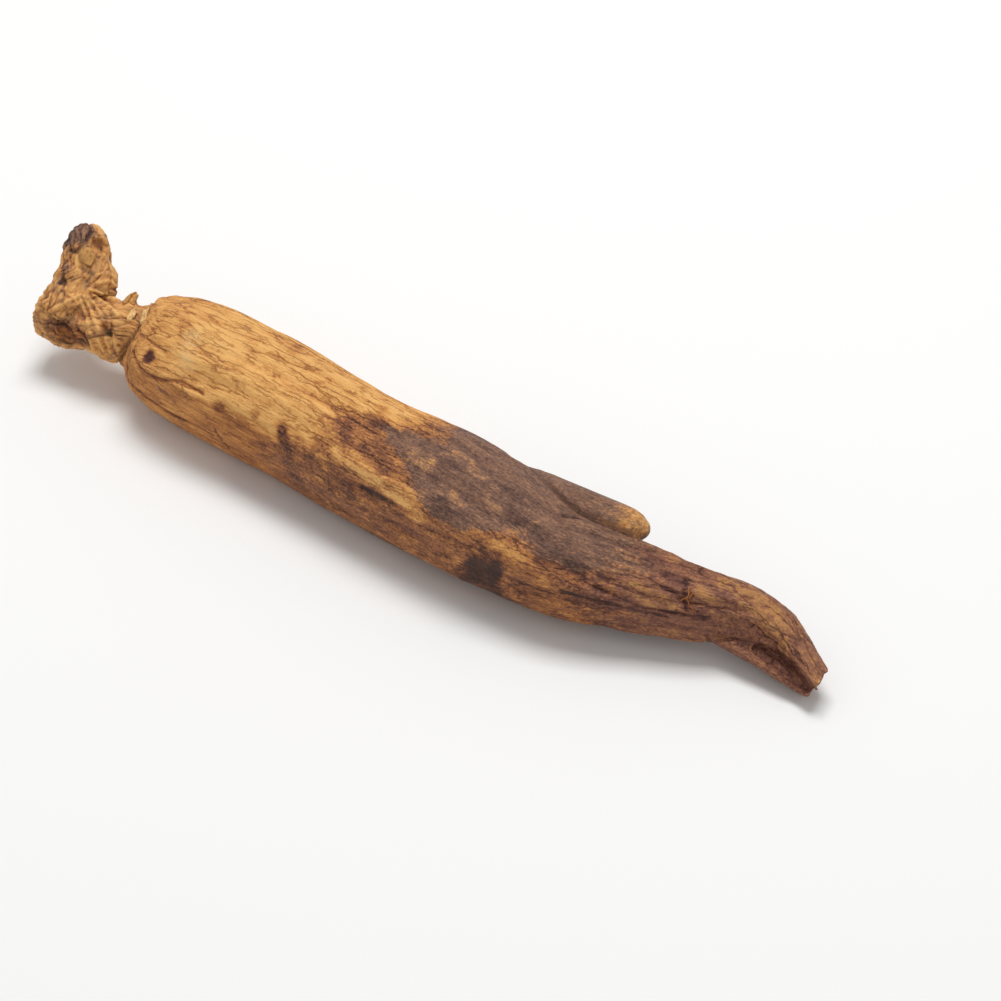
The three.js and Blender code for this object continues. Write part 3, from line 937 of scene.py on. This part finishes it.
class GINSENG_OT_root(bpy.types.Operator):
    """Grow the root's skin over its solid"""

    bl_idname = "ginseng.root"
    bl_label = "Root Skin"

    facet_softening = 0.5
    facet_rounds = 6

    def execute(self, context):
        scene = context.scene
        shape = scene.ginseng_shape
        noise.seed_set(NOISE_SEED)
        skin_object = bpy.data.objects.new("root_skin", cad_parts[ROOT_NODE].data.copy())
        scene.collection.objects.link(skin_object)
        remesh = skin_object.modifiers.new("even faces", "REMESH")
        remesh.mode = "VOXEL"
        remesh.voxel_size = shape.mesh_size
        smooth = skin_object.modifiers.new("soft facets", "SMOOTH")
        smooth.factor = self.facet_softening
        smooth.iterations = self.facet_rounds
        evaluated = skin_object.evaluated_get(context.evaluated_depsgraph_get())
        mesh = bpy.data.meshes.new_from_object(evaluated)
        skin_object.modifiers.clear()
        skin_object.data = mesh
        mesh.name = "root_skin"
        self.refine_head(mesh)

        skin = Skin(mesh)
        relief = relief_of(skin, shape)
        moved = skin.points + SHOULDER + skin.normals * relief[:, None]
        moved[:, 2] = np.maximum(moved[:, 2], 0.0)
        mesh.vertices.foreach_set("co", (moved * MM).ravel())
        for name, values in masks_of(skin, moved).items():
            mesh.attributes.new(name, "FLOAT", "POINT").data.foreach_set("value", values)
        mesh.attributes.new("grain", "FLOAT_VECTOR", "POINT").data.foreach_set("vector", skin.grain.ravel())
        mesh.shade_smooth()
        mesh.materials.clear()
        mesh.materials.append(bark_material(scene.ginseng_colours))
        mesh.update()

        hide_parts(ROOT_NODE)
        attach(skin_object, ROOT_BODY)
        return {"FINISHED"}

    def refine_head(self, mesh):
        """Halves the faces of the head and neck."""
        shape = bmesh.new()
        shape.from_mesh(mesh)
        limit = (SHOULDER[0] + FINE_UP_TO) * MM
        edges = [edge for edge in shape.edges if max(v.co.x for v in edge.verts) < limit]
        bmesh.ops.subdivide_edges(shape, edges=edges, cuts=1, use_grid_fill=True, smooth=0.5)
        shape.to_mesh(mesh)
        shape.free()


def skin_tree():
    """The root's finished skin, to lay other pieces on."""
    mesh = bpy.data.objects["root_skin"].data
    return BVHTree.FromPolygons([v.co for v in mesh.vertices], [p.vertices for p in mesh.polygons])


def add_piece(scene, name, mesh, material):
    """Links a small piece that rides on the root, with its own finish."""
    mesh.materials.append(material)
    mesh.shade_smooth()
    piece = bpy.data.objects.new(name, mesh)
    scene.collection.objects.link(piece)
    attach(piece, ROOT_BODY)


class GINSENG_OT_flakes(bpy.types.Operator):
    """Lay the dry scales of the head and the loose bark of the neck"""

    bl_idname = "ginseng.flakes"
    bl_label = "Scales and Flakes"

    rows = 9
    columns = 5
    # In mm: how thick a blade is, how deep its root is sunk, and its least half width.
    thickness = 0.2
    root_depth = 0.25
    least_half = 0.1
    # Shares of its half width: how ragged its sides are, and how much they cup.
    ragged = 0.2
    cup = 0.12

    def execute(self, context):
        colours = context.scene.ginseng_colours
        tree = skin_tree()
        materials = {
            name: dry_fibre_material(f"dry_{name}", getattr(colours, name)) for name in ("flake", "scale")
        }
        for name, start, end, half_width, lift, finish in FLAKES:
            mesh = self.blade(tree, name, start, end, half_width, lift)
            add_piece(context.scene, name, mesh, materials[finish])
        return {"FINISHED"}

    def blade(self, tree, name, start, end, half_width, lift):
        """A thin ragged blade that follows the skin, its root sunk in and its tip lifted."""
        first = Vector(start)
        run = Vector(end) - first
        shift = Vector(SHOULDER)
        points = []
        for row in range(self.rows):
            share = row / (self.rows - 1)
            middle = first + run * share
            _, normal, _, _ = tree.find_nearest((middle + shift) * MM)
            across = normal.cross(run).normalized()
            fray = 1 + self.ragged * noise.noise(middle * 1.9)
            half = half_width * fray * math.sin(0.2 + 2.9 * share**0.8) + self.least_half
            for column in range(self.columns):
                side = 2 * column / (self.columns - 1) - 1
                rim = middle + across * side * half
                place, normal, _, _ = tree.find_nearest((rim + shift) * MM)
                curl = lift * share**1.6 + self.cup * half * side**2
                curl -= self.root_depth * (1 - share) ** 4
                points.append(place / MM + normal * curl)
        mesh = bpy.data.meshes.new(name)
        shape = bmesh.new()
        grid = [shape.verts.new(point * MM) for point in points]
        for row in range(self.rows - 1):
            for column in range(self.columns - 1):
                at = row * self.columns + column
                below = at + self.columns
                shape.faces.new((grid[at], grid[at + 1], grid[below + 1], grid[below]))
        bmesh.ops.recalc_face_normals(shape, faces=shape.faces)
        bmesh.ops.solidify(shape, geom=shape.faces[:], thickness=self.thickness * MM)
        bmesh.ops.recalc_face_normals(shape, faces=shape.faces)
        shape.to_mesh(mesh)
        shape.free()
        return mesh


class GINSENG_OT_fibres(bpy.types.Operator):
    """Lay the frayed fibres of the tail and the splinters of the rootlet"""

    bl_idname = "ginseng.fibres"
    bl_label = "Frayed Fibres"

    sides = 6
    steps = 4
    # In mm: how high a strand lies on the skin, how near it must run to be laid on it, how far it strays.
    lift = 0.1
    laid_within = 0.8
    stray = 0.06
    # The share of its radius that a strand loses on its way to the tip.
    taper = 0.75

    def execute(self, context):
        tree = skin_tree()
        noise.seed_set(NOISE_SEED)
        for name, (finish, radius, strands) in STRANDS.items():
            material = dry_fibre_material(f"dry_{name}", getattr(context.scene.ginseng_colours, finish))
            mesh = bpy.data.meshes.new(name)
            shape = bmesh.new()
            for points in strands:
                self.strand(shape, tree, points, radius)
            bmesh.ops.recalc_face_normals(shape, faces=shape.faces)
            shape.to_mesh(mesh)
            shape.free()
            add_piece(context.scene, name, mesh, material)
        return {"FINISHED"}

    def strand(self, shape, tree, points, radius):
        """One tapered strand, laid on the skin wherever it runs close to it."""
        stations = [Vector(points[0])]
        for start, end in zip(points, points[1:]):
            stations += [Vector(start).lerp(Vector(end), (i + 1) / self.steps) for i in range(self.steps)]
        lifted = []
        for station in stations:
            middle = station + Vector(SHOULDER)
            place, normal, _, gap = tree.find_nearest(middle * MM)
            if gap < self.laid_within * MM:
                middle = place / MM + normal * self.lift
            stray = self.stray * noise.noise_vector(station * 1.3)
            lifted.append((middle + stray, normal))
        rings = []
        last = len(lifted) - 1
        for i, (middle, normal) in enumerate(lifted):
            forward = (lifted[min(i + 1, last)][0] - lifted[max(i - 1, 0)][0]).normalized()
            across = forward.cross(normal).normalized()
            over = across.cross(forward)
            thin = radius * (1 - self.taper * i / last)
            turns = [2 * math.pi * side / self.sides for side in range(self.sides)]
            ring = [middle + (across * math.cos(t) + over * math.sin(t)) * thin for t in turns]
            rings.append([shape.verts.new(point * MM) for point in ring])
        for near, far in zip(rings, rings[1:]):
            for side in range(self.sides):
                after = (side + 1) % self.sides
                shape.faces.new((near[side], near[after], far[after], far[side]))
        shape.faces.new(rings[0])
        shape.faces.new(rings[-1])


class GINSENG_OT_stage(bpy.types.Operator):
    """Set the floor, the light and the camera"""

    bl_idname = "ginseng.stage"
    bl_label = "Studio Stage"

    # Metres and watts.
    floor_half = 3.0
    sky_strength = 0.48
    softbox_at = (-0.1, 0.2, 0.85)
    softbox_size = (0.5, 0.35)
    softbox_power = 5.0
    sensor_width = 36.0
    nearest_view = 0.01

    def execute(self, context):
        scene = context.scene
        stage = scene.ginseng_stage
        self.lay_floor(scene, stage)
        self.hang_light(scene)
        self.place_camera(scene, stage)
        return {"FINISHED"}

    def lay_floor(self, scene, stage):
        """Matte white paper, which takes a soft shadow and has no gloss of its own."""
        mesh = bpy.data.meshes.new("studio_floor")
        half = self.floor_half
        corners = [(-half, -half, 0), (half, -half, 0), (half, half, 0), (-half, half, 0)]
        mesh.from_pydata(corners, [], [(0, 1, 2, 3)])
        material = bpy.data.materials.new("matte_paper_floor")
        material.use_nodes = True
        shader = material.node_tree.nodes["Principled BSDF"]
        shader.inputs["Base Color"].default_value = stage.floor
        shader.inputs["Roughness"].default_value = 0.9
        shader.inputs["Specular IOR Level"].default_value = 0.1
        mesh.materials.append(material)
        floor = bpy.data.objects.new("studio_floor", mesh)
        scene.collection.objects.link(floor)

    def hang_light(self, scene):
        """An even white sky, and one softbox high above the root that gives it form and a soft shadow."""
        world = bpy.data.worlds.new("studio_sky")
        world.use_nodes = True
        background = world.node_tree.nodes["Background"]
        background.inputs["Color"].default_value = (1.0, 1.0, 1.0, 1.0)
        background.inputs["Strength"].default_value = self.sky_strength
        scene.world = world
        lamp = bpy.data.lights.new("softbox", "AREA")
        lamp.shape = "RECTANGLE"
        lamp.size, lamp.size_y = self.softbox_size
        lamp.energy = self.softbox_power
        softbox = bpy.data.objects.new("softbox", lamp)
        softbox.location = self.softbox_at
        softbox.rotation_euler = (-softbox.location).to_track_quat("-Z", "Y").to_euler()
        scene.collection.objects.link(softbox)
        scene.view_settings.view_transform = "Standard"

    def place_camera(self, scene, stage):
        """Looks at the root from the photograph's side and height."""
        camera = bpy.data.objects.new("photo_camera", bpy.data.cameras.new("photo_camera"))
        camera.data.lens = stage.lens
        camera.data.sensor_width = self.sensor_width
        camera.data.clip_start = self.nearest_view
        level = math.cos(stage.elevation)
        back = Vector(
            (math.sin(stage.azimuth) * level, -math.cos(stage.azimuth) * level, math.sin(stage.elevation))
        )
        camera.location = Vector(stage.target) + back * stage.distance
        camera.rotation_euler = back.to_track_quat("Z", "Y").to_euler()
        scene.collection.objects.link(camera)
        scene.camera = camera


class GINSENG_PT_panel(bpy.types.Panel):
    """Lists the settings of the root and the steps that build it"""

    bl_idname = "GINSENG_PT_panel"
    bl_label = "Ginseng Root"
    bl_space_type = "VIEW_3D"
    bl_region_type = "UI"
    bl_category = "Ginseng"

    def draw(self, context):
        scene = context.scene
        for group in (scene.ginseng_shape, scene.ginseng_colours, scene.ginseng_stage):
            for name in group.bl_rna.properties.keys():
                if name not in {"rna_type", "name"}:
                    self.layout.prop(group, name)
        for operator in OPERATORS:
            self.layout.operator(operator.bl_idname)


OPERATORS = (GINSENG_OT_root, GINSENG_OT_flakes, GINSENG_OT_fibres, GINSENG_OT_stage)
CLASSES = (RootShape, RootColours, StudioStage, *OPERATORS, GINSENG_PT_panel)


def register():
    for cls in CLASSES:
        bpy.utils.register_class(cls)
    bpy.types.Scene.ginseng_shape = PointerProperty(type=RootShape)
    bpy.types.Scene.ginseng_colours = PointerProperty(type=RootColours)
    bpy.types.Scene.ginseng_stage = PointerProperty(type=StudioStage)


def unregister():
    del bpy.types.Scene.ginseng_stage
    del bpy.types.Scene.ginseng_colours
    del bpy.types.Scene.ginseng_shape
    for cls in reversed(CLASSES):
        bpy.utils.unregister_class(cls)


def main():
    """Builds every piece and the stage."""
    register()
    bpy.ops.ginseng.root()
    bpy.ops.ginseng.flakes()
    bpy.ops.ginseng.fibres()
    bpy.ops.ginseng.stage()


if __name__ == "__main__":
    main()
